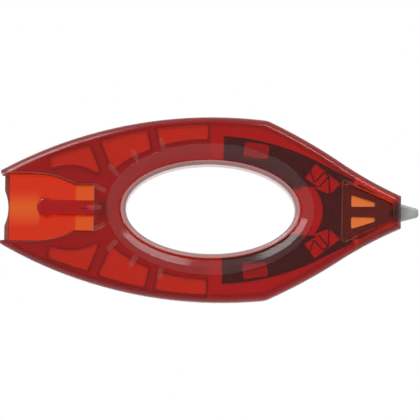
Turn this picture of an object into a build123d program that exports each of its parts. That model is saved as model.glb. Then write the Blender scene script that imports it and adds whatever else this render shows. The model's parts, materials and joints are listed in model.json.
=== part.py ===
from build123d import *
import os
from math import atan2, cos, degrees, radians, sin, sqrt

os.makedirs("parts", exist_ok=True)

# A finger-loop package opener: two see-through shells round an oval finger hole,
# a sliding steel piercing tip at the nose and a guarded film blade in the rear throat.
# X runs from the throat to the tip, Y across, Z through the thickness.
# The flat back face lies on Z = 0 and the plan is symmetric about the XZ plane.

# --- plan of the casing
crest = (2.0, 26.6)              # widest point of the flank
flank_radius = 127.0
rear_x = -60.0                   # tips of the two rear horns
rear_mid_x = -59.4
lip_x = -59.1                    # straight rear edge of the throat's floor
lip_y = (5.0, 9.3)               # the floor's two lips, with a shallow dip between them
lip_dip_x = -58.1
lip_wedge = [(-57.9, 0.0), (-59.5, 1.9), (-61.0, 0.0)]
shoulder_x = 16.3                # soft corner where the nose starts
shoulder_mid = (27.9, 19.9)      # nose flank, bowing outwards
waist = (38.9, 13.1)
nose_mid = (46.7, 8.55)          # nose flank, bowing inwards
nose = (54.8, 4.6)               # corner of the flat nose face
tip_x = 60.0                     # end of the steel tip
shoulder_round = 5.0
nose_round = 0.8
horn_round = 0.35

# --- levels
parting_z = 5.0
seam_gap = 0.04                  # left between pieces that lie face to face
face_z = 10.0
collar_z = 10.7                  # crest of the raised collar round the finger hole
ring_z = 10.8                    # lip of the finger ring
cell_floor = 1.55                # face thickness over the rear cells
pad_floor = 1.2                  # back face thickness under the thumb pad
thick_floor = 3.0                # face thickness over the front insert
nose_floor = 1.6                 # face thickness beside the thumb pocket
rim_wall = 2.0
front_wall = 2.4                 # rim beside the front insert
nose_wall = 0.9
front_round = 2.2                # round edge of the front face
back_round = 1.4
seam_bevel = 0.15
fit_gap = 0.1                    # between pieces seated in the casing
step_x = 0.3                     # where the thin faces become thick ones
nose_step_x = 41.5               # where the thick faces become thin again
nose_stop_x = 52.8
edge_bevel = 0.25                # round the throat and the thumb pocket

# --- finger hole and collar, all ellipses about one centre
hole_x = 0.2
hole_axes = (24.2, 12.8)
ring_axes = (25.7, 14.1)
ring_seat_axes = (25.75, 14.15)
insert_axes = (26.0, 14.4)       # hole in the pieces between the shells
crest_axes = (28.1, 16.7)        # crest of the collar
collar_edge_axes = (29.65, 18.75)
collar_edge_z = 10.6             # the collar falls gently from its crest to here, then steeply
collar_axes = (29.9, 19.0)
dish_z = 9.9                     # the collar falls to this level beside the ring
ring_lip_round = 1.1

# --- rear throat
throat_floor = 2.7
chute_floor = 1.75
throat_half = 9.6
chute_half = 6.6                 # the two squares beside the guide foot
chute_rear_x = -38.7
chute_front_x = -33.1
throat_wall = 0.7
scoop_front_x = -49.1
scoop_half = 5.2
scoop_depth = 1.1

# --- guide foot and film blade
foot_head = (-46.8, 2.75)        # centre and radius of the round head
foot_half = 2.15
foot_gap_half = 2.3               # opening for the foot's stem in the throat's end wall
foot_z = (5.3, 8.4)
foot_root_x = (-31.9, -29.2)
foot_root_half = 3.4
foot_crown_round = 0.5
blade_thickness = 0.15
blade_z = (2.8, 5.2)
blade_x = (-37.6, -30.8)
blade_rake = 2.0                 # how far the cutting edge leans
blade_bevel = 0.055                # ground off each side at the edge
blade_grind = 0.5                # length of the ground faces
clamp_x = (-31.9, -29.0)
clamp_half = 2.6
clamp_z = (2.6, 5.2)

# --- rear frame
frame_z = (3.7, 6.3)
frame_rim_z = (1.65, 8.35)       # rims of the cells, nearly touching both faces
frame_rim = 0.75
end_rib = 0.5                    # tall rib along the frame's front edge, let into the rim
end_rib_wall = 0.6               # rim left outside the end of the rib
# each cell has an outer and an inner arc, from left to right
cells = [
    ([(-45.9, 14.3), (-40.4, 16.3), (-34.7, 17.9)], [(-45.6, 11.0), (-38.4, 12.2), (-31.2, 9.2)]),
    ([(-31.4, 19.1), (-25.0, 21.0), (-18.4, 22.4)], [(-27.9, 10.9), (-23.2, 14.3), (-17.2, 17.0)]),
    ([(-15.4, 23.0), (-8.0, 23.9), (-0.8, 24.3)], [(-14.2, 18.2), (-8.0, 19.6), (-0.8, 20.2)]),
]

# --- smoke front insert: two fixed arms, two zigzag springs, one sliding carriage
arm_rear_x = 3.8
arm_outer = [(3.8, 21.2), (17.0, 19.3), (28.8, 15.2)]
arm_tip = (41.0, 9.0)
rail_half = 8.0
arm_inner_half = 7.0
window = [(27.2, 9.4), (30.2, 13.6), (37.4, 8.0), (34.3, 4.9)]
arm_heel = [(27.2, 7.0), (27.2, 9.4), (30.7, 7.18), (30.7, 7.0)]
zigzag = [(28.4, 12.0), (30.0, 8.2), (32.6, 11.2), (34.1, 10.1), (34.3, 4.0)]
zigzag_strut = [(34.1, 10.1), (31.2, 6.7)]
zigzag_width = 0.45
zigzag_z = (3.6, 6.4)
post_centre = (13.2, 17.2)
post_window = (7.0, 4.2)
post_size = (6.0, 3.2)
post_turn = -8.0
slider_z = (3.2, 6.8)
slider_rear = (29.9, 6.6)
slider_rear_mid_x = 32.4
slider_half = 7.8
slider_shoulder_x = 43.2
slider_nose_x = 52.3
slider_nose_half = 2.75
slider_end_x = 54.6
pad_end_x = 52.6                 # front end of the pad's seat
pad_z = (5.55, 6.9)              # thumb pad, let into the carriage
pad_margin = 0.5                 # how far the pad reaches under the casing round its pocket
light_window = [(40.6, 1.45), (40.6, 4.9), (47.4, 2.7), (47.4, 1.6)]
light_window_round = 0.4

# --- thumb pocket in the front face and mouth in the nose
pocket = [(38.3, 8.5), (52.4, 2.45)]
mouth_half = 2.95
mouth_z = (3.0, 7.0)
mouth_x = (47.0, 56.0)

# --- plain bars engraved in the back face round the rear end of the finger hole
bar_axes = (33.0, 20.0)
bar_count = 9
bar_span = 130.0                 # degrees of the oval that the bars spread over
bar_size = (4.6, 0.9)
bar_depth = 0.3

# --- steel tip
steel_z = (4.45, 5.55)
tang_x = 51.3
tang_half = 1.3
steel_half = 2.65
steel_end_half = 1.2
steel_end_round = 0.5


def flank_y(x):
    """Half-width of the casing's rear flank, an arc with its crest at crest."""
    return crest[1] - flank_radius + sqrt(flank_radius**2 - (x - crest[0]) ** 2)


def mirrored(points):
    """The same points on the other side of the XZ plane."""
    return [(x, -y) for x, y in points]


def level(z):
    """Plane through the finger hole's centre, square to it."""
    return Plane((hole_x, 0, z))


def casing_plan(inset=0.0):
    """Outline of the casing in plan, moved inwards by inset."""
    rear_y = flank_y(rear_x)
    shoulder = (shoulder_x, flank_y(shoulder_x))
    flank_mid = ((rear_x + shoulder_x) / 2, flank_y((rear_x + shoulder_x) / 2))
    with BuildSketch() as plan:
        with BuildLine():
            ThreePointArc((rear_x, -rear_y), (rear_mid_x, 0), (rear_x, rear_y))
            for side in (1, -1):
                ThreePointArc(
                    (rear_x, side * rear_y),
                    (flank_mid[0], side * flank_mid[1]),
                    (shoulder[0], side * shoulder[1]),
                )
                ThreePointArc(
                    (shoulder[0], side * shoulder[1]),
                    (shoulder_mid[0], side * shoulder_mid[1]),
                    (waist[0], side * waist[1]),
                )
                ThreePointArc(
                    (waist[0], side * waist[1]),
                    (nose_mid[0], side * nose_mid[1]),
                    (nose[0], side * nose[1]),
                )
            Line((nose[0], -nose[1]), (nose[0], nose[1]))
        make_face()
        corners = plan.vertices()
        fillet(corners.filter_by(lambda v: abs(v.X - shoulder_x) < 0.01), shoulder_round)
        fillet(corners.filter_by(lambda v: abs(v.X - nose[0]) < 0.01), nose_round)
        fillet(corners.filter_by(lambda v: abs(v.X - rear_x) < 0.01), horn_round)
        if inset:
            offset(amount=-inset)
    return plan.sketch


def cavity_plan(inset, from_x, to_x):
    """The casing plan moved inwards, kept between two stations along X."""
    with BuildSketch() as plan:
        add(casing_plan(inset))
        with Locations(((from_x + to_x) / 2, 0)):
            Rectangle(to_x - from_x, 60, mode=Mode.INTERSECT)
    return plan.sketch


def throat_plan(grow=0.0):
    """Plan of the open rear throat with the two chutes, moved outwards by grow."""
    with BuildSketch() as plan:
        with BuildLine():
            Line((-64.0, -throat_half), (-64.0, throat_half))
            for side in (1, -1):
                Line((-64.0, side * throat_half), (-49.0, side * throat_half))
                ThreePointArc(
                    (-49.0, side * throat_half),
                    (-43.3, side * 8.6),
                    (chute_rear_x, side * chute_half),
                )
                Line((chute_rear_x, side * chute_half), (chute_front_x, side * chute_half))
            Line((chute_front_x, -chute_half), (chute_front_x, chute_half))
        make_face()
        if grow:
            offset(amount=grow, kind=Kind.INTERSECTION)
    return plan.sketch


def pocket_plan(grow=0.0):
    """Plan of the tapering thumb pocket, moved outwards by grow."""
    with BuildSketch() as plan:
        with BuildLine():
            Polyline(*pocket, *reversed(mirrored(pocket)), close=True)
        make_face()
        fillet(plan.vertices(), 0.8)
        if grow:
            offset(amount=grow)
    return plan.sketch


def light_window_plan():
    """Plan of the two rounded light windows in the carriage and the thumb pad."""
    with BuildSketch() as plan:
        for outline in (light_window, mirrored(light_window)):
            with BuildLine():
                Polyline(*outline, close=True)
            make_face()
        fillet(plan.vertices(), light_window_round)
    return plan.sketch


def cell_plan(outer, inner, grow=0.0):
    """Plan of one rounded cell between two arcs, moved outwards by grow."""
    with BuildSketch() as plan:
        with BuildLine():
            ThreePointArc(*outer)
            Line(outer[-1], inner[-1])
            ThreePointArc(*inner)
            Line(inner[0], outer[0])
        make_face()
        fillet(plan.vertices(), 0.6)
        if grow:
            offset(amount=grow)
    return plan.sketch


# --- back shell: floor, rim, throat floor with scoop and chutes, posts for the arms
with BuildPart() as back_shell:
    with BuildSketch():
        add(casing_plan())
    extrude(amount=parting_z)
    chamfer(back_shell.faces().sort_by(Axis.Z)[-1].edges(), seam_bevel)
    fillet(back_shell.faces().sort_by(Axis.Z)[0].edges(), back_round)
    # rear cavity over the thin floor, front cavity over the thick one
    with BuildSketch(Plane.XY.offset(cell_floor)):
        add(cavity_plan(rim_wall, -60.0, step_x))
        add(cavity_plan(end_rib_wall, -end_rib - fit_gap, step_x))
        add(throat_plan(throat_wall), mode=Mode.SUBTRACT)
    extrude(amount=parting_z, mode=Mode.SUBTRACT)
    with BuildSketch(Plane.XY.offset(thick_floor)):
        add(cavity_plan(front_wall, step_x, nose[0]))
    extrude(amount=parting_z, mode=Mode.SUBTRACT)
    with BuildSketch(Plane.XY.offset(nose_floor)):
        add(cavity_plan(nose_wall, nose_step_x, nose_stop_x))
    extrude(amount=parting_z, mode=Mode.SUBTRACT)
    with BuildSketch(Plane.XY.offset(pad_floor)):
        add(pocket_plan(0.3))
    extrude(amount=parting_z, mode=Mode.SUBTRACT)
    # throat, open to the rear
    with BuildSketch(Plane.XY.offset(throat_floor)):
        add(throat_plan())
    extrude(amount=parting_z, mode=Mode.SUBTRACT)
    with BuildSketch(Plane.XY.offset(chute_floor)):
        for side in (1, -1):
            with Locations(((chute_rear_x + chute_front_x) / 2, side * (chute_half + foot_half) / 2)):
                Rectangle(chute_front_x - chute_rear_x, chute_half - foot_half)
    extrude(amount=parting_z, mode=Mode.SUBTRACT)
    scoop_radius = (scoop_half**2 + scoop_depth**2) / (2 * scoop_depth)
    with BuildSketch(Plane.YZ.offset(scoop_front_x)):
        with Locations((0, throat_floor - scoop_depth + scoop_radius)):
            Circle(scoop_radius)
    extrude(amount=-12.0, mode=Mode.SUBTRACT)
    # rear edge of the throat's floor, with a long chamfer underneath
    with BuildSketch():
        with BuildLine():
            ThreePointArc((lip_x, -lip_y[0]), (lip_dip_x, 0), (lip_x, lip_y[0]))
            Polyline(
                (lip_x, lip_y[0]),
                (lip_x, lip_y[1]),
                (rear_x - 2, lip_y[1]),
                (rear_x - 2, -lip_y[1]),
                (lip_x, -lip_y[1]),
                (lip_x, -lip_y[0]),
            )
        make_face()
    extrude(amount=parting_z, mode=Mode.SUBTRACT)
    with BuildSketch(Plane.XZ):
        with BuildLine():
            Polyline(*lip_wedge, close=True)
        make_face()
    extrude(amount=throat_half, both=True, mode=Mode.SUBTRACT)
    # gap in the throat's end wall for the foot and the blade
    with BuildSketch(Plane.XY.offset(throat_floor)):
        with Locations((chute_front_x + throat_wall / 2, 0)):
            Rectangle(throat_wall + 0.4, 2 * foot_gap_half)
    extrude(amount=parting_z, mode=Mode.SUBTRACT)
    # mouth for the carriage and hole for the finger ring
    with BuildSketch(Plane.XY.offset(mouth_z[0])):
        with Locations(((mouth_x[0] + mouth_x[1]) / 2, 0)):
            Rectangle(mouth_x[1] - mouth_x[0], 2 * mouth_half)
    extrude(amount=parting_z, mode=Mode.SUBTRACT)
    with BuildSketch(level(0)):
        Ellipse(*ring_seat_axes)
    extrude(amount=parting_z, mode=Mode.SUBTRACT)
    # plain bars engraved in the back face, each square to the oval it stands on
    for number in range(bar_count):
        angle = 180.0 + bar_span * (number / (bar_count - 1) - 0.5)
        spot = (hole_x + bar_axes[0] * cos(radians(angle)), bar_axes[1] * sin(radians(angle)))
        heading = degrees(atan2(sin(radians(angle)) / bar_axes[1], cos(radians(angle)) / bar_axes[0]))
        with BuildSketch():
            with Locations(Location(spot, heading)):
                SlotOverall(*bar_size)
        extrude(amount=bar_depth, mode=Mode.SUBTRACT)
    # posts that hold the guide arms
    for side in (1, -1):
        with BuildSketch(Plane.XY.offset(thick_floor)):
            with Locations(Location((post_centre[0], side * post_centre[1]), side * post_turn)):
                RectangleRounded(*post_size, 0.6)
        extrude(amount=face_z - 2 * thick_floor - seam_gap)
back_shell.part.label = "back_shell"
export_step(back_shell.part, "parts/back_shell.step")

# --- front shell: face with the collar, rim, throat opening and thumb pocket
with BuildPart() as front_shell:
    with BuildSketch(Plane.XY.offset(parting_z + seam_gap)):
        add(casing_plan())
    extrude(amount=face_z - parting_z - seam_gap)
    chamfer(front_shell.faces().sort_by(Axis.Z)[0].edges(), seam_bevel)
    fillet(front_shell.faces().sort_by(Axis.Z)[-1].edges(), front_round)
    # raised collar with a steep outer edge, dished inwards to the ring
    with BuildSketch(level(dish_z)):
        Ellipse(*collar_axes)
    with BuildSketch(level(collar_edge_z)):
        Ellipse(*collar_edge_axes)
    loft()
    with BuildSketch(level(collar_edge_z)):
        Ellipse(*collar_edge_axes)
    with BuildSketch(level(collar_z)):
        Ellipse(*crest_axes)
    loft()
    with BuildSketch(level(dish_z)):
        Ellipse(*ring_seat_axes)
    with BuildSketch(level(collar_z)):
        Ellipse(*crest_axes)
    loft(mode=Mode.SUBTRACT)
    # cavities under the thin rear face and the thick front face
    with BuildSketch(Plane.XY.offset(face_z - cell_floor)):
        add(cavity_plan(rim_wall, -60.0, step_x))
        add(cavity_plan(end_rib_wall, -end_rib - fit_gap, step_x))
        add(throat_plan(throat_wall), mode=Mode.SUBTRACT)
    extrude(amount=-parting_z, mode=Mode.SUBTRACT)
    with BuildSketch(Plane.XY.offset(face_z - thick_floor)):
        add(cavity_plan(front_wall, step_x, nose[0]))
    extrude(amount=-parting_z, mode=Mode.SUBTRACT)
    with BuildSketch(Plane.XY.offset(face_z - nose_floor)):
        add(cavity_plan(nose_wall, nose_step_x, nose_stop_x))
    extrude(amount=-parting_z, mode=Mode.SUBTRACT)
    # openings in the face
    with BuildSketch(Plane.XY.offset(parting_z)):
        add(throat_plan())
        add(pocket_plan())
    extrude(amount=face_z, mode=Mode.SUBTRACT)
    for opening in (throat_plan, pocket_plan):
        with BuildSketch(Plane.XY.offset(face_z - edge_bevel)):
            add(opening())
        with BuildSketch(Plane.XY.offset(face_z)):
            add(opening(edge_bevel))
        loft(mode=Mode.SUBTRACT)
    with BuildSketch(Plane.XY.offset(parting_z)):
        with Locations((chute_front_x + throat_wall / 2, 0)):
            Rectangle(throat_wall + 0.4, 2 * foot_gap_half)
    extrude(amount=foot_z[1] + fit_gap - parting_z, mode=Mode.SUBTRACT)
    with BuildSketch(Plane.XY.offset(mouth_z[1])):
        with Locations(((mouth_x[0] + mouth_x[1]) / 2, 0)):
            Rectangle(mouth_x[1] - mouth_x[0], 2 * mouth_half)
    extrude(amount=-parting_z, mode=Mode.SUBTRACT)
    with BuildSketch(level(0)):
        Ellipse(*ring_seat_axes)
    extrude(amount=collar_z, mode=Mode.SUBTRACT)
front_shell.part.label = "front_shell"
export_step(front_shell.part, "parts/front_shell.step")

# --- finger ring: oval tube through both shells with a rounded lip at each face
with BuildPart() as finger_ring:
    with BuildSketch(level(0)):
        Ellipse(*ring_axes)
        Ellipse(*hole_axes, mode=Mode.SUBTRACT)
    extrude(amount=ring_z)
    fillet(finger_ring.faces().sort_by(Axis.Z)[-1].edges().sort_by(SortBy.LENGTH)[0], ring_lip_round)
    fillet(finger_ring.faces().sort_by(Axis.Z)[0].edges().sort_by(SortBy.LENGTH)[0], ring_lip_round)
finger_ring.part.label = "finger_ring"
export_step(finger_ring.part, "parts/finger_ring.step")

# --- rear frame: plate between the shells with rimmed cells and seats for foot and blade
with BuildSketch() as frame_plan:
    add(cavity_plan(rim_wall + fit_gap, -60.0, 0.0))
    add(throat_plan(throat_wall + fit_gap), mode=Mode.SUBTRACT)
with BuildPart() as rear_frame:
    with BuildSketch(Plane.XY.offset(frame_z[0])):
        add(frame_plan.sketch)
    extrude(amount=frame_z[1] - frame_z[0])
    with BuildSketch(Plane.XY.offset(frame_rim_z[0])):
        for outer, inner in cells:
            add(cell_plan(outer, inner, frame_rim))
            add(cell_plan(mirrored(outer), mirrored(inner), frame_rim))
        add(frame_plan.sketch, mode=Mode.INTERSECT)
        add(cavity_plan(end_rib_wall + fit_gap, -end_rib, 0.0))
        with Locations((hole_x, 0)):
            Ellipse(*collar_axes, mode=Mode.SUBTRACT)
    extrude(amount=frame_rim_z[1] - frame_rim_z[0])
    with BuildSketch():
        for outer, inner in cells:
            add(cell_plan(outer, inner))
            add(cell_plan(mirrored(outer), mirrored(inner)))
    extrude(amount=face_z, mode=Mode.SUBTRACT)
    with BuildSketch(level(0)):
        Ellipse(*insert_axes)
    extrude(amount=face_z, mode=Mode.SUBTRACT)
    with BuildSketch():
        with Locations(((foot_root_x[0] + foot_root_x[1]) / 2, 0)):
            Rectangle(foot_root_x[1] - foot_root_x[0] + 2 * fit_gap, 2 * (foot_root_half + fit_gap))
        with Locations(((clamp_x[0] + clamp_x[1]) / 2, 0)):
            Rectangle(clamp_x[1] - clamp_x[0] + 2 * fit_gap, 2 * (clamp_half + fit_gap))
        with Locations((chute_front_x + throat_wall, 0)):
            Rectangle(2.0, 2 * foot_gap_half)
    extrude(amount=face_z, mode=Mode.SUBTRACT)
rear_frame.part.label = "rear_frame"
export_step(rear_frame.part, "parts/rear_frame.step")

# --- guide foot: round-headed tongue that leads film under itself to the blade
with BuildPart() as guide_foot:
    with BuildSketch(Plane.XY.offset(foot_z[0])):
        with Locations((foot_head[0], 0)):
            Circle(foot_head[1])
        with Locations(((foot_head[0] + foot_root_x[1]) / 2, 0)):
            Rectangle(foot_root_x[1] - foot_head[0], 2 * foot_half)
        with Locations(((foot_root_x[0] + foot_root_x[1]) / 2, 0)):
            Rectangle(foot_root_x[1] - foot_root_x[0], 2 * foot_root_half)
    extrude(amount=foot_z[1] - foot_z[0])
    crown = guide_foot.faces().sort_by(Axis.Z)[-1].edges()
    fillet(crown, foot_crown_round)
guide_foot.part.label = "guide_foot"
export_step(guide_foot.part, "parts/guide_foot.step")

# --- film blade: on edge under the foot, its raked edge facing the throat's mouth
with BuildPart() as film_blade:
    with BuildSketch(Plane.XZ.offset(-blade_thickness / 2)):
        with BuildLine():
            Polyline(
                (blade_x[0], blade_z[1]),
                (blade_x[0] + blade_rake, blade_z[0]),
                (blade_x[1], blade_z[0]),
                (blade_x[1], blade_z[1]),
                close=True,
            )
        make_face()
    extrude(amount=blade_thickness)
    edge = film_blade.faces().sort_by(Axis.X)[0].edges().sort_by(Axis.Y)
    chamfer([edge[0], edge[-1]], length=blade_bevel, length2=blade_grind)
film_blade.part.label = "film_blade"
export_step(film_blade.part, "parts/film_blade.step")

# --- blade clamp: slotted block that holds the film blade's shank
with BuildPart() as blade_clamp:
    with BuildSketch(Plane.XY.offset(clamp_z[0])):
        with Locations(((clamp_x[0] + clamp_x[1]) / 2, 0)):
            Rectangle(clamp_x[1] - clamp_x[0], 2 * clamp_half)
    extrude(amount=clamp_z[1] - clamp_z[0])
    with BuildSketch(Plane.XY.offset(blade_z[0])):
        with Locations(((clamp_x[0] + blade_x[1]) / 2, 0)):
            Rectangle(blade_x[1] - clamp_x[0], blade_thickness)
    extrude(amount=face_z, mode=Mode.SUBTRACT)
blade_clamp.part.label = "blade_clamp"
export_step(blade_clamp.part, "parts/blade_clamp.step")


def arm_plan():
    """Plan of the upper guide arm, from the finger ring's flank to the nose rail."""
    with BuildSketch() as plan:
        with BuildLine():
            Polyline(arm_outer[0], (arm_rear_x, 0), (arm_tip[0], 0), arm_tip, arm_outer[2])
            ThreePointArc(*arm_outer)
        make_face()
        with Locations((hole_x, 0)):
            Ellipse(*insert_axes, mode=Mode.SUBTRACT)
        with Locations((15.0, arm_inner_half / 2)):
            Rectangle(30.0, arm_inner_half, mode=Mode.SUBTRACT)
        with BuildLine():
            Polyline((window[0][0], 0), *window[:3], (50.0, rail_half), (50.0, 0), close=True)
        make_face(mode=Mode.SUBTRACT)
        with BuildLine():
            Polyline(*arm_heel, close=True)
        make_face()
        with Locations(Location(post_centre, post_turn)):
            RectangleRounded(*post_window, 0.8, mode=Mode.SUBTRACT)
    return plan.sketch


def zigzag_plan():
    """Plan of the upper zigzag spring, trimmed to its window in the insert."""
    with BuildSketch() as plan:
        with BuildLine():
            Polyline(*zigzag)
            Line(*zigzag_strut)
        trace(line_width=zigzag_width)
        with BuildLine():
            Polyline(*window, close=True)
        make_face(mode=Mode.INTERSECT)
    return plan.sketch


# --- guide arms and zigzag springs, one of each on either side
for name, mirror_it in (("upper", False), ("lower", True)):
    with BuildPart() as guide_arm:
        with BuildSketch(Plane.XY.offset(thick_floor + seam_gap)):
            add(arm_plan())
            if mirror_it:
                mirror(about=Plane.XZ, mode=Mode.REPLACE)
        extrude(amount=face_z - 2 * thick_floor - 2 * seam_gap)
    guide_arm.part.label = "guide_arm_" + name
    export_step(guide_arm.part, "parts/guide_arm_" + name + ".step")

    with BuildPart() as zigzag_spring:
        with BuildSketch(Plane.XY.offset(zigzag_z[0])):
            add(zigzag_plan())
            if mirror_it:
                mirror(about=Plane.XZ, mode=Mode.REPLACE)
        extrude(amount=zigzag_z[1] - zigzag_z[0])
    zigzag_spring.part.label = "zigzag_spring_" + name
    export_step(zigzag_spring.part, "parts/zigzag_spring_" + name + ".step")

# --- tip slider: carriage with the thumb pad, light windows and the tip's seat
with BuildPart() as tip_slider:
    with BuildSketch(Plane.XY.offset(slider_z[0])):
        with BuildLine():
            ThreePointArc(
                (slider_rear[0], -slider_rear[1]), (slider_rear_mid_x, 0), slider_rear
            )
            for side in (1, -1):
                Polyline(
                    (slider_rear[0], side * slider_rear[1]),
                    (window[3][0], side * window[3][1]),
                    (window[2][0], side * slider_half),
                    (slider_shoulder_x, side * slider_half),
                    (slider_nose_x, side * slider_nose_half),
                    (slider_end_x, side * slider_nose_half),
                )
            Line((slider_end_x, -slider_nose_half), (slider_end_x, slider_nose_half))
        make_face()
    extrude(amount=slider_z[1] - slider_z[0])
    # seat of the thumb pad and two light windows
    with BuildSketch(Plane.XY.offset(pad_z[0])):
        add(pocket_plan(pad_margin + fit_gap))
    extrude(amount=face_z, mode=Mode.SUBTRACT)
    with BuildSketch(Plane.XY.offset(slider_z[0])):
        add(light_window_plan())
    extrude(amount=face_z, mode=Mode.SUBTRACT)
    # seat for the tang, open to the front
    with BuildSketch(Plane.XY.offset(steel_z[0])):
        with Locations(((tang_x + slider_end_x) / 2, 0)):
            Rectangle(slider_end_x - tang_x, 2 * tang_half)
    extrude(amount=steel_z[1] - steel_z[0], mode=Mode.SUBTRACT)
    with BuildSketch(Plane.XY.offset(steel_z[0])):
        with Locations(((tang_x + pad_end_x) / 2, 0)):
            Rectangle(pad_end_x - tang_x, 2 * tang_half)
    extrude(amount=face_z, mode=Mode.SUBTRACT)
tip_slider.part.label = "tip_slider"
export_step(tip_slider.part, "parts/tip_slider.step")

# --- thumb pad: tapering red plate with the light windows, which also holds the tang down
with BuildPart() as thumb_pad:
    with BuildSketch(Plane.XY.offset(pad_z[0] + seam_gap)):
        add(pocket_plan(pad_margin))
        with Locations((pocket[0][0], 0)):
            Rectangle(40.0, 2 * slider_half, mode=Mode.INTERSECT)
        add(light_window_plan(), mode=Mode.SUBTRACT)
    extrude(amount=pad_z[1] - pad_z[0] - seam_gap)
thumb_pad.part.label = "thumb_pad"
export_step(thumb_pad.part, "parts/thumb_pad.step")

# --- steel tip: tang and a tapering, rounded piercing blade with ground faces
with BuildPart() as steel_tip:
    with BuildSketch(Plane.XY.offset(steel_z[0])) as steel_plan:
        with BuildLine():
            side_line = [
                (tang_x, tang_half),
                (slider_end_x, tang_half),
                (slider_end_x, steel_half),
                (tip_x, steel_end_half),
            ]
            Polyline(*side_line, *reversed(mirrored(side_line)), close=True)
        make_face()
        corners = steel_plan.vertices().filter_by(lambda v: v.X > tip_x - 0.01)
        fillet(corners, steel_end_round)
    extrude(amount=steel_z[1] - steel_z[0])
steel_tip.part.label = "steel_tip"
export_step(steel_tip.part, "parts/steel_tip.step")
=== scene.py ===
import json
import math

import bpy
from mathutils import Matrix, Vector


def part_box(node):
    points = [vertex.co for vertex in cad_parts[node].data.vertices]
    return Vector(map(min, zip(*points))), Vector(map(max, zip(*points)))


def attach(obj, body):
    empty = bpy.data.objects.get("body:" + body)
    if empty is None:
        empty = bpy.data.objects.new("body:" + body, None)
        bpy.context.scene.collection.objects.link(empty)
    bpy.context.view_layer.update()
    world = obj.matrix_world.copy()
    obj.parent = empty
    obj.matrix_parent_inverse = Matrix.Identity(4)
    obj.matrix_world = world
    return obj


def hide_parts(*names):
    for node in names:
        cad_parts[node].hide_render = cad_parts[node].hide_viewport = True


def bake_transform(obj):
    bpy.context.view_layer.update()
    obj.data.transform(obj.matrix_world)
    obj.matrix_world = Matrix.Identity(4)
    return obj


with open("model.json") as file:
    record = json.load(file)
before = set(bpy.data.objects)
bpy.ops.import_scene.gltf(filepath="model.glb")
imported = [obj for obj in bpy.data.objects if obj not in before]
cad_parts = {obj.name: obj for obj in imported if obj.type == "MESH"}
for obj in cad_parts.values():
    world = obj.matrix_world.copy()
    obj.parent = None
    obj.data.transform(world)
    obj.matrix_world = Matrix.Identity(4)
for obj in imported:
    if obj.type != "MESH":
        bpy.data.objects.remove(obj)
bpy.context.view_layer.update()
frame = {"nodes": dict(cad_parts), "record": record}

# --- camera: nearly square to the face, with a long lens
CAMERA_TARGET = (0.0001, 0.0001, 0.005)
CAMERA_DISTANCE = 0.75
CAMERA_TILT = math.radians(4.0)      # leans towards the lower side of the object
CAMERA_ROLL = math.radians(0.8)
VIEW_WIDTH = 0.1207                  # width of the frame at the object, in metres
SENSOR_WIDTH = 36.0
CLIP_START = 0.01

# --- floor, surroundings and softboxes
FLOOR_SIZE = 3.0
FLOOR_Z = -0.0004
HORIZON = (0.15, 0.85)               # height on the sky from 0 to 1, and brightness there
ZENITH = (0.9, 0.38)
LIGHT_BOUNCES = 24                   # enough to pass through every see-through layer
# name, azimuth and elevation in degrees, distance and diameter in metres, power in watts
SOFTBOXES = (
    ("softbox_left", 132.0, 46.0, 1.6, 1.04, 11.5),
    ("softbox_right", 66.0, 50.0, 1.6, 0.66, 3.8),
    ("softbox_low", 118.0, 32.0, 1.6, 0.7, 4.2),
)

# --- light absorbed per metre by the three plastics, for red, green and blue
RED_ABSORPTION = (88.0, 1320.0, 2700.0)
PAD_ABSORPTION = (270.0, 1500.0, 2700.0)
SMOKE_ABSORPTION = (540.0, 600.0, 620.0)
DENSITY_MARGIN = 1.04                # keeps the strongest channel's colour above 0
PLASTIC_IOR = 1.5
SURFACE_TINT = (0.82, 0.82, 0.82)

# --- roughness, wear and flow marks of the plastics
RED_ROUGHNESS = 0.04
SATIN_RED_ROUGHNESS = 0.06
PAD_ROUGHNESS = 0.10
SMOKE_ROUGHNESS = 0.12
WEAR_SCALE = 90.0
WEAR_DETAIL = 4.0
WEAR_RANGE = (0.35, 0.75)            # part of the noise that counts as wear
WEAR_ROUGHNESS = 0.08                # roughness that full wear adds
FLOW_SCALE = 320.0
FLOW_DETAIL = 2.0
FLOW_STRENGTH = 0.03
FLOW_HEIGHT = 0.0002

# --- ground steel: grinding lines across the tip
LINE_SCALE = (9000.0, 500.0, 500.0)
LINE_DETAIL = 3.0
LINE_TONES = ((0.3, (0.40, 0.42, 0.39, 1.0)), (0.7, (0.52, 0.54, 0.51, 1.0)))
LINE_ROUGHNESS = (0.42, 0.6)
LINE_STRENGTH = 0.15
LINE_HEIGHT = 0.00005

# --- zigzag springs in plan, in metres
SPRING_CHAIN = (
    (0.0287, 0.0117),
    (0.0300, 0.0082),
    (0.0326, 0.0112),
    (0.0341, 0.0101),
    (0.0343, 0.0049),
)
SPRING_STRUT = ((0.0341, 0.0101), (0.0313, 0.0069))
SPRING_BEND = 0.0006                 # radius of its corners
SPRING_STEP = 0.0004
SPRING_WIDTH = 0.00042
SPRING_EDGE = 0.00006

# --- fine raised beads beside the edges of the openings, in metres
THROAT_EDGE = ((-0.0580, 0.0099), (-0.0490, 0.0099), (-0.0433, 0.0089), (-0.0386, 0.0071))
THROAT_BEND = 0.003
THROAT_STEP = 0.001
POCKET_EDGE = ((0.0425, 0.0072), (0.0379, 0.0091))
POCKET_BEND = 0.0014
POCKET_STEP = 0.0006
BEAD_Z = 0.00996
BEAD_RADIUS = 0.00024
BEAD_SIDES = 10

# --- plain low bars, where the real object carries lettering
MARK_AXES = (0.0330, 0.0200)
MARK_COUNT = 9
MARK_SPAN = 130.0                    # degrees of the oval that they spread over
MARK_LENGTH = 0.0042
MARK_WIDTH = 0.0015
MARK_STEPS = 24
# how far each ring lies inside the outline, and its height
MARK_PROFILE = ((0.0, 0.00995), (0.00002, 0.01004), (0.00009, 0.01010), (0.0002, 0.01012))

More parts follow.
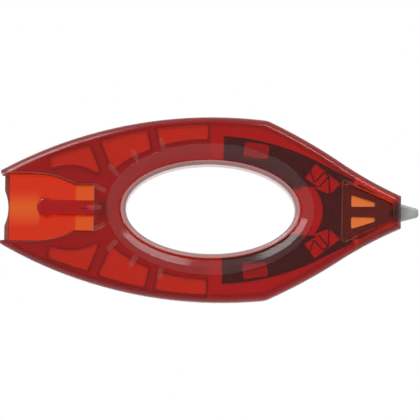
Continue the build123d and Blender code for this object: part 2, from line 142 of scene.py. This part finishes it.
# --- steel tip, in metres
TANG_HALF = 0.00128
TIP_SHOULDER_X = 0.0547
TIP_HALF = 0.00262
TIP_END_HALF = 0.0012
TIP_TAPER = 0.75                     # share of the side grind that is left at the end
TIP_GRIND = 0.00065                  # width of the ground faces
TIP_END_GRIND = 1.3                  # the end's grind is wider by this factor
TIP_EDGE = 0.00008                   # half the thickness left at the edge
TIP_CORNER = 0.00045                 # blunted corners of the end
TIP_CORNER_Y = 0.00008
TIP_ROUND = 0.00004

# --- oval finger hole: centre along X, and the zones round it where a painted reflection veil lies, as inner and outer half-axes
HOLE_X = 0.0002
CRISP_EDGE = 0.0002                  # how softly a zone of painted reflection veil ends
COLLAR_ZONE = ((0.0258, 0.0142), (0.0298, 0.0189))
COLLAR_PAINTED_VEIL = 0.022                 # share of pale diffuse colour that paints the reflection veil on the collar
LIP_ZONE = ((0.0230, 0.0116), (0.0256, 0.0140))
# share of pale diffuse colour that paints the reflection veil on the ring's lip
LIP_PAINTED_VEIL = 0.22
ZONE_LOWEST_Z = 0.0052
# pale colour of the painted reflection veil round the finger hole
PAINTED_VEIL_TONE = (0.95, 0.92, 0.90)

# --- pale russet diffuse layer that lightens the lips at the rear end of the throat
LIPS_FRONT_X = -0.0579               # they lie behind this
LIPS_PALE_SHARE = 0.25
RUSSET = (0.95, 0.25, 0.20)

# --- round edge of the front face
RIM_TOP_Z = 0.00995                  # glossy above this height
RIM_SATIN_Z = 0.0096                 # fully satin below this height
RIM_SATIN = 0.24                     # roughness that this adds

# --- skin of the fine raised moulding
RAISED_ALPHA = 0.12
RAISED_ROUGHNESS = 0.3
RAISED_SCALE = 900.0
RAISED_TONES = ((0.50, 0.16, 0.15, 1.0), (0.58, 0.22, 0.20, 1.0))


def node_tree(name):
    """A new material with an empty node tree, and a function that adds nodes to it."""
    material = bpy.data.materials.new(name)
    material.use_nodes = True
    tree = material.node_tree
    tree.nodes.clear()

    def add(kind, operation=None):
        node = tree.nodes.new(kind)
        if operation:
            node.operation = operation
        return node

    return material, tree, add


def oval_mask(tree, add, place, zone):
    """1 between two ovals round the finger hole and above the casing's middle, 0 elsewhere."""
    link = tree.links.new
    split = add("ShaderNodeSeparateXYZ")
    link(place.outputs["Object"], split.inputs["Vector"])
    steps = []
    for number, (half_x, half_y) in enumerate(zone):
        across = add("ShaderNodeMath", operation="DIVIDE")
        across.inputs[1].default_value = half_x
        along = add("ShaderNodeMath", operation="DIVIDE")
        along.inputs[1].default_value = half_y
        shift = add("ShaderNodeMath", operation="SUBTRACT")
        shift.inputs[1].default_value = HOLE_X
        link(split.outputs["X"], shift.inputs[0])
        link(shift.outputs[0], across.inputs[0])
        link(split.outputs["Y"], along.inputs[0])
        squares = []
        for ratio in (across, along):
            square = add("ShaderNodeMath", operation="POWER")
            square.inputs[1].default_value = 2.0
            link(ratio.outputs[0], square.inputs[0])
            squares.append(square)
        total = add("ShaderNodeMath", operation="ADD")
        link(squares[0].outputs[0], total.inputs[0])
        link(squares[1].outputs[0], total.inputs[1])
        step = add("ShaderNodeMapRange")
        spread = CRISP_EDGE / half_y
        step.inputs["From Min"].default_value = 1.0 - spread
        step.inputs["From Max"].default_value = 1.0 + spread
        step.inputs["To Min"].default_value = float(number)
        step.inputs["To Max"].default_value = 1.0 - number
        link(total.outputs[0], step.inputs["Value"])
        steps.append(step)
    above = add("ShaderNodeMath", operation="GREATER_THAN")
    above.inputs[1].default_value = ZONE_LOWEST_Z
    link(split.outputs["Z"], above.inputs[0])
    both = add("ShaderNodeMath", operation="MULTIPLY")
    link(steps[0].outputs["Result"], both.inputs[0])
    link(steps[1].outputs["Result"], both.inputs[1])
    mask = add("ShaderNodeMath", operation="MULTIPLY")
    link(both.outputs[0], mask.inputs[0])
    link(above.outputs[0], mask.inputs[1])
    return mask


def rear_mask(tree, add, place):
    """1 on the lips at the rear end of the throat, 0 elsewhere."""
    split = add("ShaderNodeSeparateXYZ")
    mask = add("ShaderNodeMath", operation="LESS_THAN")
    mask.inputs[1].default_value = LIPS_FRONT_X
    tree.links.new(place.outputs["Object"], split.inputs["Vector"])
    tree.links.new(split.outputs["X"], mask.inputs[0])
    return mask


def satin_rim(add, link, place, shine, surface):
    """Raise the roughness on the round edge of the front face, below the flat of the face."""
    split = add("ShaderNodeSeparateXYZ")
    height = add("ShaderNodeMapRange")
    height.inputs["From Min"].default_value = RIM_TOP_Z
    height.inputs["From Max"].default_value = RIM_SATIN_Z
    height.inputs["To Min"].default_value = 0.0
    height.inputs["To Max"].default_value = RIM_SATIN
    total = add("ShaderNodeMath", operation="ADD")
    link(place.outputs["Object"], split.inputs["Vector"])
    link(split.outputs["Z"], height.inputs["Value"])
    link(height.outputs["Result"], total.inputs[0])
    link(shine.outputs["Result"], total.inputs[1])
    link(total.outputs[0], surface.inputs["Roughness"])


def see_through(name, absorption, roughness, zone=None, pale_share=0.0, tone=PAINTED_VEIL_TONE):
    """Clear moulded plastic that absorbs light along its path, with faint flow marks and wear.

    A zone can carry a pale diffuse layer: between two ovals round the finger hole it is a painted
    reflection veil, and on the "lips" of the throat it lightens them to a pale russet.
    """
    material, tree, add = node_tree(name)
    link = tree.links.new
    out = add("ShaderNodeOutputMaterial")
    surface = add("ShaderNodeBsdfPrincipled")
    surface.inputs["Base Color"].default_value = (*SURFACE_TINT, 1.0)
    surface.inputs["Transmission Weight"].default_value = 1.0
    surface.inputs["IOR"].default_value = PLASTIC_IOR
    place = add("ShaderNodeTexCoord")
    wear = add("ShaderNodeTexNoise")
    wear.inputs["Scale"].default_value = WEAR_SCALE
    wear.inputs["Detail"].default_value = WEAR_DETAIL
    shine = add("ShaderNodeMapRange")
    shine.inputs["From Min"].default_value = WEAR_RANGE[0]
    shine.inputs["From Max"].default_value = WEAR_RANGE[1]
    shine.inputs["To Min"].default_value = roughness
    shine.inputs["To Max"].default_value = roughness + WEAR_ROUGHNESS
    flow = add("ShaderNodeTexNoise")
    flow.inputs["Scale"].default_value = FLOW_SCALE
    flow.inputs["Detail"].default_value = FLOW_DETAIL
    bump = add("ShaderNodeBump")
    bump.inputs["Strength"].default_value = FLOW_STRENGTH
    bump.inputs["Distance"].default_value = FLOW_HEIGHT
    link(place.outputs["Object"], wear.inputs["Vector"])
    link(place.outputs["Object"], flow.inputs["Vector"])
    link(wear.outputs["Fac"], shine.inputs["Value"])
    link(shine.outputs["Result"], surface.inputs["Roughness"])
    link(flow.outputs["Fac"], bump.inputs["Height"])
    link(bump.outputs["Normal"], surface.inputs["Normal"])
    link(surface.outputs["BSDF"], out.inputs["Surface"])
    if zone == COLLAR_ZONE:
        satin_rim(add, link, place, shine, surface)
    # pale diffuse layer mixed in: a painted reflection veil round the finger hole, a lighter russet
    # on the throat's lips
    if zone:
        pale_layer = add("ShaderNodeBsdfDiffuse")
        pale_layer.inputs["Color"].default_value = (*tone, 1.0)
        share = add("ShaderNodeMath", operation="MULTIPLY")
        share.inputs[1].default_value = pale_share
        mask = rear_mask(tree, add, place) if zone == "lips" else oval_mask(tree, add, place, zone)
        link(mask.outputs[0], share.inputs[0])
        mix = add("ShaderNodeMixShader")
        link(share.outputs[0], mix.inputs["Fac"])
        link(surface.outputs["BSDF"], mix.inputs[1])
        link(pale_layer.outputs["BSDF"], mix.inputs[2])
        link(mix.outputs["Shader"], out.inputs["Surface"])
    volume = add("ShaderNodeVolumeAbsorption")
    density = max(absorption) * DENSITY_MARGIN
    volume.inputs["Density"].default_value = density
    volume.inputs["Color"].default_value = (*(1.0 - a / density for a in absorption), 1.0)
    link(volume.outputs["Volume"], out.inputs["Volume"])
    return material


def satin_moulding(name):
    """Fine raised moulding: mostly clear, with a satin skin that varies a little."""
    material, tree, add = node_tree(name)
    link = tree.links.new
    out = add("ShaderNodeOutputMaterial")
    skin = add("ShaderNodeBsdfPrincipled")
    skin.inputs["Roughness"].default_value = RAISED_ROUGHNESS
    skin.inputs["IOR"].default_value = PLASTIC_IOR
    skin.inputs["Alpha"].default_value = RAISED_ALPHA
    place = add("ShaderNodeTexCoord")
    noise = add("ShaderNodeTexNoise")
    noise.inputs["Scale"].default_value = RAISED_SCALE
    tones = add("ShaderNodeValToRGB")
    tones.color_ramp.elements[0].color = RAISED_TONES[0]
    tones.color_ramp.elements[1].color = RAISED_TONES[1]
    link(place.outputs["Object"], noise.inputs["Vector"])
    link(noise.outputs["Fac"], tones.inputs["Fac"])
    link(tones.outputs["Color"], skin.inputs["Base Color"])
    link(skin.outputs["BSDF"], out.inputs["Surface"])
    return material


def ground_steel(name):
    """Matt ground steel with fine grinding lines across the tip."""
    material, tree, add = node_tree(name)
    link = tree.links.new
    out = add("ShaderNodeOutputMaterial")
    surface = add("ShaderNodeBsdfPrincipled")
    surface.inputs["Metallic"].default_value = 1.0
    place = add("ShaderNodeTexCoord")
    stretch = add("ShaderNodeMapping")
    stretch.inputs["Scale"].default_value = LINE_SCALE
    lines = add("ShaderNodeTexNoise")
    lines.inputs["Scale"].default_value = 1.0
    lines.inputs["Detail"].default_value = LINE_DETAIL
    tone = add("ShaderNodeValToRGB")
    for stop, (position, colour) in zip(tone.color_ramp.elements, LINE_TONES):
        stop.position = position
        stop.color = colour
    shine = add("ShaderNodeMapRange")
    shine.inputs["To Min"].default_value = LINE_ROUGHNESS[0]
    shine.inputs["To Max"].default_value = LINE_ROUGHNESS[1]
    bump = add("ShaderNodeBump")
    bump.inputs["Strength"].default_value = LINE_STRENGTH
    bump.inputs["Distance"].default_value = LINE_HEIGHT
    link(place.outputs["Object"], stretch.inputs["Vector"])
    link(stretch.outputs["Vector"], lines.inputs["Vector"])
    link(lines.outputs["Fac"], tone.inputs["Fac"])
    link(tone.outputs["Color"], surface.inputs["Base Color"])
    link(lines.outputs["Fac"], shine.inputs["Value"])
    link(shine.outputs["Result"], surface.inputs["Roughness"])
    link(lines.outputs["Fac"], bump.inputs["Height"])
    link(bump.outputs["Normal"], surface.inputs["Normal"])
    link(surface.outputs["BSDF"], out.inputs["Surface"])
    return material


red = see_through("red_clear_plastic", RED_ABSORPTION, RED_ROUGHNESS)
red_collar = see_through(
    "red_collar_plastic", RED_ABSORPTION, SATIN_RED_ROUGHNESS, COLLAR_ZONE, COLLAR_PAINTED_VEIL
)
red_ring = see_through(
    "red_ring_plastic", RED_ABSORPTION, SATIN_RED_ROUGHNESS, LIP_ZONE, LIP_PAINTED_VEIL
)
red_back = see_through(
    "red_lip_plastic", RED_ABSORPTION, RED_ROUGHNESS, "lips", LIPS_PALE_SHARE, RUSSET
)
pad = see_through("red_pad_plastic", PAD_ABSORPTION, PAD_ROUGHNESS)
smoke = see_through("smoke_clear_plastic", SMOKE_ABSORPTION, SMOKE_ROUGHNESS)
raised = satin_moulding("raised")
steel = ground_steel("ground_steel")
finishes = {"red_plastic": red, "smoke_plastic": smoke, "steel": steel}
special = {
    "front_shell": red_collar,
    "back_shell": red_back,
    "finger_ring": red_ring,
    "thumb_pad": pad,
}
slot_of = {part["node"]: part["material_slot"] for part in frame["record"]["subparts"]}
for name, node in frame["nodes"].items():
    for material_slot in node.material_slots:
        material_slot.material = special.get(name, finishes[slot_of[name]])


def rounded_path(points, radius, steps=6):
    """The points of a polyline with its corners rounded by arcs of about the given radius."""
    path = [Vector(points[0])]
    for before, corner, after in zip(points, points[1:], points[2:]):
        before, corner, after = Vector(before), Vector(corner), Vector(after)
        reach_in = min(radius, (corner - before).length * 0.45)
        reach_out = min(radius, (after - corner).length * 0.45)
        start = corner + (before - corner).normalized() * reach_in
        stop = corner + (after - corner).normalized() * reach_out
        for step in range(steps + 1):
            share = step / steps
            path.append(start.lerp(corner, share).lerp(corner.lerp(stop, share), share))
    path.append(Vector(points[-1]))
    return path


def divided(path, longest):
    """The same path with extra points, so that no piece of it is longer than asked."""
    result = [path[0]]
    for a, b in zip(path, path[1:]):
        count = max(1, math.ceil((b - a).length / longest))
        result.extend(a.lerp(b, step / count) for step in range(1, count + 1))
    return result


def ribbon(path, width, low, high):
    """Vertices and faces of an upright ribbon along a path in plan."""
    vertices = []
    for number, point in enumerate(path):
        ahead = path[min(number + 1, len(path) - 1)]
        behind = path[max(number - 1, 0)]
        along = (ahead - behind).normalized()
        across = Vector((-along.y, along.x)) * width / 2
        for side, height in ((1, low), (-1, low), (-1, high), (1, high)):
            vertices.append((*(point + side * across), height))
    faces = [(3, 2, 1, 0)]
    for number in range(len(path) - 1):
        base = 4 * number
        for corner in range(4):
            following = (corner + 1) % 4
            faces.append((base + corner, base + following, base + 4 + following, base + 4 + corner))
    last = 4 * (len(path) - 1)
    faces.append((last, last + 1, last + 2, last + 3))
    return vertices, faces


def mesh_object(name, vertices, faces, material, edge_round):
    """A mesh object with the given faces, its sharp edges rounded a little."""
    mesh = bpy.data.meshes.new(name)
    mesh.from_pydata(vertices, [], faces)
    mesh.validate()
    mesh.materials.append(material)
    made = bpy.data.objects.new(name, mesh)
    bpy.context.scene.collection.objects.link(made)
    rounding = made.modifiers.new("edge_round", "BEVEL")
    rounding.width = edge_round
    rounding.segments = 2
    rounding.limit_method = "ANGLE"
    rounding.angle_limit = math.radians(35.0)
    return made


def baked(made):
    """The object with its modifiers applied."""
    bpy.context.view_layer.update()
    shape = made.evaluated_get(bpy.context.evaluated_depsgraph_get())
    finished = bpy.data.meshes.new_from_object(shape)
    made.modifiers.clear()
    made.data = finished
    return made


def add_spring(name, side):
    """Zigzag flexure between a guide arm and the carriage."""
    low, high = (corner.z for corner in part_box(name))
    vertices, faces = [], []
    for line in (SPRING_CHAIN, SPRING_STRUT):
        path = divided(rounded_path(line, SPRING_BEND), SPRING_STEP)
        more, quads = ribbon(path, SPRING_WIDTH, low, high)
        faces.extend(tuple(index + len(vertices) for index in quad) for quad in quads)
        vertices.extend(more)
    if side < 0:
        vertices = [(x, -y, z) for x, y, z in vertices]
        faces = [tuple(reversed(face)) for face in faces]
    spring = baked(mesh_object(name + "_flexure", vertices, faces, smoke, SPRING_EDGE))
    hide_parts(name)
    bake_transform(spring)


def tube(path):
    """Vertices and faces of a round bead along a path of points at one height."""
    vertices, faces = [], []
    count = len(path)
    for number, point in enumerate(path):
        ahead = path[min(number + 1, count - 1)]
        behind = path[max(number - 1, 0)]
        along = (ahead - behind).normalized()
        across = Vector((-along.y, along.x, 0)).normalized()
        upward = along.cross(across)
        for side in range(BEAD_SIDES):
            angle = 2 * math.pi * side / BEAD_SIDES
            reach = math.cos(angle) * across + math.sin(angle) * upward
            vertices.append(point + BEAD_RADIUS * reach)
    for number in range(count - 1):
        base, following = number * BEAD_SIDES, (number + 1) * BEAD_SIDES
        for side in range(BEAD_SIDES):
            beside = (side + 1) % BEAD_SIDES
            faces.append((base + side, following + side, following + beside, base + beside))
    faces.append(tuple(range(BEAD_SIDES)))
    faces.append(tuple(reversed(range((count - 1) * BEAD_SIDES, count * BEAD_SIDES))))
    return vertices, faces


def add_raised(name, shapes):
    """One smooth piece made of several shapes, moulded on the front shell."""
    vertices, faces = [], []
    for more, polygons in shapes:
        faces.extend(tuple(index + len(vertices) for index in polygon) for polygon in polygons)
        vertices.extend(more)
    mesh = bpy.data.meshes.new(name)
    mesh.from_pydata(vertices, [], faces)
    mesh.validate()
    mesh.materials.append(raised)
    mesh.shade_smooth()
    made = bpy.data.objects.new(name, mesh)
    bpy.context.scene.collection.objects.link(made)
    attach(made, "casing")


def add_edge_beads():
    """Fine raised beads beside the throat's two edges and the pocket's rear edge."""
    upper = [Vector((x, y, BEAD_Z)) for x, y in THROAT_EDGE]
    lower = [Vector((x, -y, BEAD_Z)) for x, y in THROAT_EDGE]
    pocket = [Vector((x, y, BEAD_Z)) for x, y in POCKET_EDGE]
    pocket += [Vector((x, -y, BEAD_Z)) for x, y in reversed(POCKET_EDGE)]
    shapes = [
        tube(divided(rounded_path(upper, THROAT_BEND), THROAT_STEP)),
        tube(divided(rounded_path(lower, THROAT_BEND), THROAT_STEP)),
        tube(divided(rounded_path(pocket, POCKET_BEND), POCKET_STEP)),
    ]
    add_raised("edge_beads", shapes)


def low_bar(spot, along):
    """Vertices and faces of a low bar with round ends and shoulders at a point in plan."""
    across = Vector((-along.y, along.x))
    vertices, faces = [], []
    for inset, height in MARK_PROFILE:
        half = MARK_WIDTH / 2 - inset
        for step in range(MARK_STEPS):
            turn = 2 * math.pi * (step + 0.5) / MARK_STEPS
            straight = math.copysign((MARK_LENGTH - MARK_WIDTH) / 2, math.cos(turn))
            reach = straight + half * math.cos(turn)
            place = spot + along * reach + across * (half * math.sin(turn))
            vertices.append(Vector((place.x, place.y, height)))
    for ring in range(len(MARK_PROFILE) - 1):
        base, above = ring * MARK_STEPS, (ring + 1) * MARK_STEPS
        for step in range(MARK_STEPS):
            following = (step + 1) % MARK_STEPS
            faces.append((base + step, base + following, above + following, above + step))
    faces.append(tuple(reversed(range(MARK_STEPS))))
    faces.append(tuple(range(len(vertices) - MARK_STEPS, len(vertices))))
    return vertices, faces


def add_marks():
    """Plain low bars on the face, over the bars that the CAD engraves in the back."""
    shapes = []
    for number in range(MARK_COUNT):
        angle = math.pi + math.radians(MARK_SPAN) * (number / (MARK_COUNT - 1) - 0.5)
        spot = Vector((HOLE_X + MARK_AXES[0] * math.cos(angle), MARK_AXES[1] * math.sin(angle)))
        along = Vector((math.cos(angle) / MARK_AXES[0], math.sin(angle) / MARK_AXES[1]))
        shapes.append(low_bar(spot, along.normalized()))
    add_raised("plain_marks", shapes)


def add_steel_tip():
    """Piercing tip stamped from sheet, with ground faces round its sides and blunt end."""
    lowest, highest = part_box("steel_tip")
    middle = (lowest.z + highest.z) / 2
    rings = (
        (TIP_GRIND, lowest.z),
        (0.0, middle - TIP_EDGE),
        (0.0, middle + TIP_EDGE),
        (TIP_GRIND, highest.z),
    )
    vertices = []
    for inset, height in rings:
        end_x = highest.x - inset * TIP_END_GRIND
        end_half = TIP_END_HALF - inset * TIP_TAPER
        half = [
            (lowest.x, TANG_HALF),
            (TIP_SHOULDER_X, TANG_HALF),
            (TIP_SHOULDER_X, TIP_HALF - inset),
            (end_x - TIP_CORNER, end_half + TIP_CORNER_Y),
            (end_x, end_half - TIP_CORNER),
        ]
        outline = half + [(x, -y) for x, y in reversed(half)]
        vertices.extend((x, y, height) for x, y in outline)
    count = len(vertices) // len(rings)
    faces = [tuple(range(count)), tuple(reversed(range(3 * count, 4 * count)))]
    for ring in range(len(rings) - 1):
        for corner in range(count):
            following = (corner + 1) % count
            base, above = ring * count, (ring + 1) * count
            faces.append((base + corner, above + corner, above + following, base + following))
    tip = baked(mesh_object("steel_tip_ground", vertices, faces, steel, TIP_ROUND))
    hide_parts("steel_tip")
    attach(tip, "tip_carriage")


def add_stage():
    """White glowing floor under the object."""
    material, tree, add = node_tree("white_floor")
    out = add("ShaderNodeOutputMaterial")
    glow = add("ShaderNodeEmission")
    glow.inputs["Color"].default_value = (1.0, 1.0, 1.0, 1.0)
    glow.inputs["Strength"].default_value = 1.0
    tree.links.new(glow.outputs["Emission"], out.inputs["Surface"])
    bpy.ops.mesh.primitive_plane_add(size=FLOOR_SIZE, location=(0, 0, FLOOR_Z))
    floor = bpy.context.object
    floor.name = "floor"
    floor.data.materials.append(material)


def add_world():
    """Soft studio surroundings: dim overhead, pale towards the horizon."""
    world = bpy.data.worlds.new("studio")
    world.use_nodes = True
    tree = world.node_tree
    tree.nodes.clear()
    link = tree.links.new
    out = tree.nodes.new("ShaderNodeOutputWorld")
    back = tree.nodes.new("ShaderNodeBackground")
    place = tree.nodes.new("ShaderNodeTexCoord")
    split = tree.nodes.new("ShaderNodeSeparateXYZ")
    ramp = tree.nodes.new("ShaderNodeValToRGB")
    for stop, (position, grey) in zip(ramp.color_ramp.elements, (HORIZON, ZENITH)):
        stop.position = position
        stop.color = (grey, grey, grey, 1.0)
    link(place.outputs["Generated"], split.inputs["Vector"])
    link(split.outputs["Z"], ramp.inputs["Fac"])
    link(ramp.outputs["Color"], back.inputs["Color"])
    link(back.outputs["Background"], out.inputs["Surface"])
    bpy.context.scene.world = world


def add_softbox(name, azimuth, elevation, distance, size, power):
    """Round area light aimed at the object, placed by its direction from it."""
    data = bpy.data.lights.new(name, "AREA")
    data.shape = "DISK"
    data.size = size
    data.energy = power
    light = bpy.data.objects.new(name, data)
    bpy.context.scene.collection.objects.link(light)
    az, el = math.radians(azimuth), math.radians(elevation)
    direction = Vector((math.cos(el) * math.cos(az), math.cos(el) * math.sin(az), math.sin(el)))
    light.location = direction * distance
    light.rotation_euler = direction.to_track_quat("Z", "Y").to_euler()


def add_camera():
    """Long-lens camera over the object, its frame just as wide as the object."""
    data = bpy.data.cameras.new("camera")
    data.sensor_width = SENSOR_WIDTH
    data.lens = SENSOR_WIDTH * CAMERA_DISTANCE / VIEW_WIDTH
    data.clip_start = CLIP_START
    camera = bpy.data.objects.new("camera", data)
    bpy.context.scene.collection.objects.link(camera)
    lean = Matrix.Rotation(CAMERA_TILT, 4, "X")
    roll = Matrix.Rotation(CAMERA_ROLL, 4, "Z")
    target = Matrix.Translation(Vector(CAMERA_TARGET))
    back = Matrix.Translation(Vector((0, 0, CAMERA_DISTANCE)))
    camera.matrix_world = target @ lean @ roll @ back
    bpy.context.scene.camera = camera


add_spring("zigzag_spring_upper", 1)
add_spring("zigzag_spring_lower", -1)
add_steel_tip()
add_edge_beads()
add_marks()
add_stage()
add_world()
for softbox in SOFTBOXES:
    add_softbox(*softbox)
add_camera()
bpy.context.scene.view_settings.view_transform = "Standard"
bpy.context.scene.cycles.max_bounces = LIGHT_BOUNCES
bpy.context.scene.cycles.transmission_bounces = LIGHT_BOUNCES
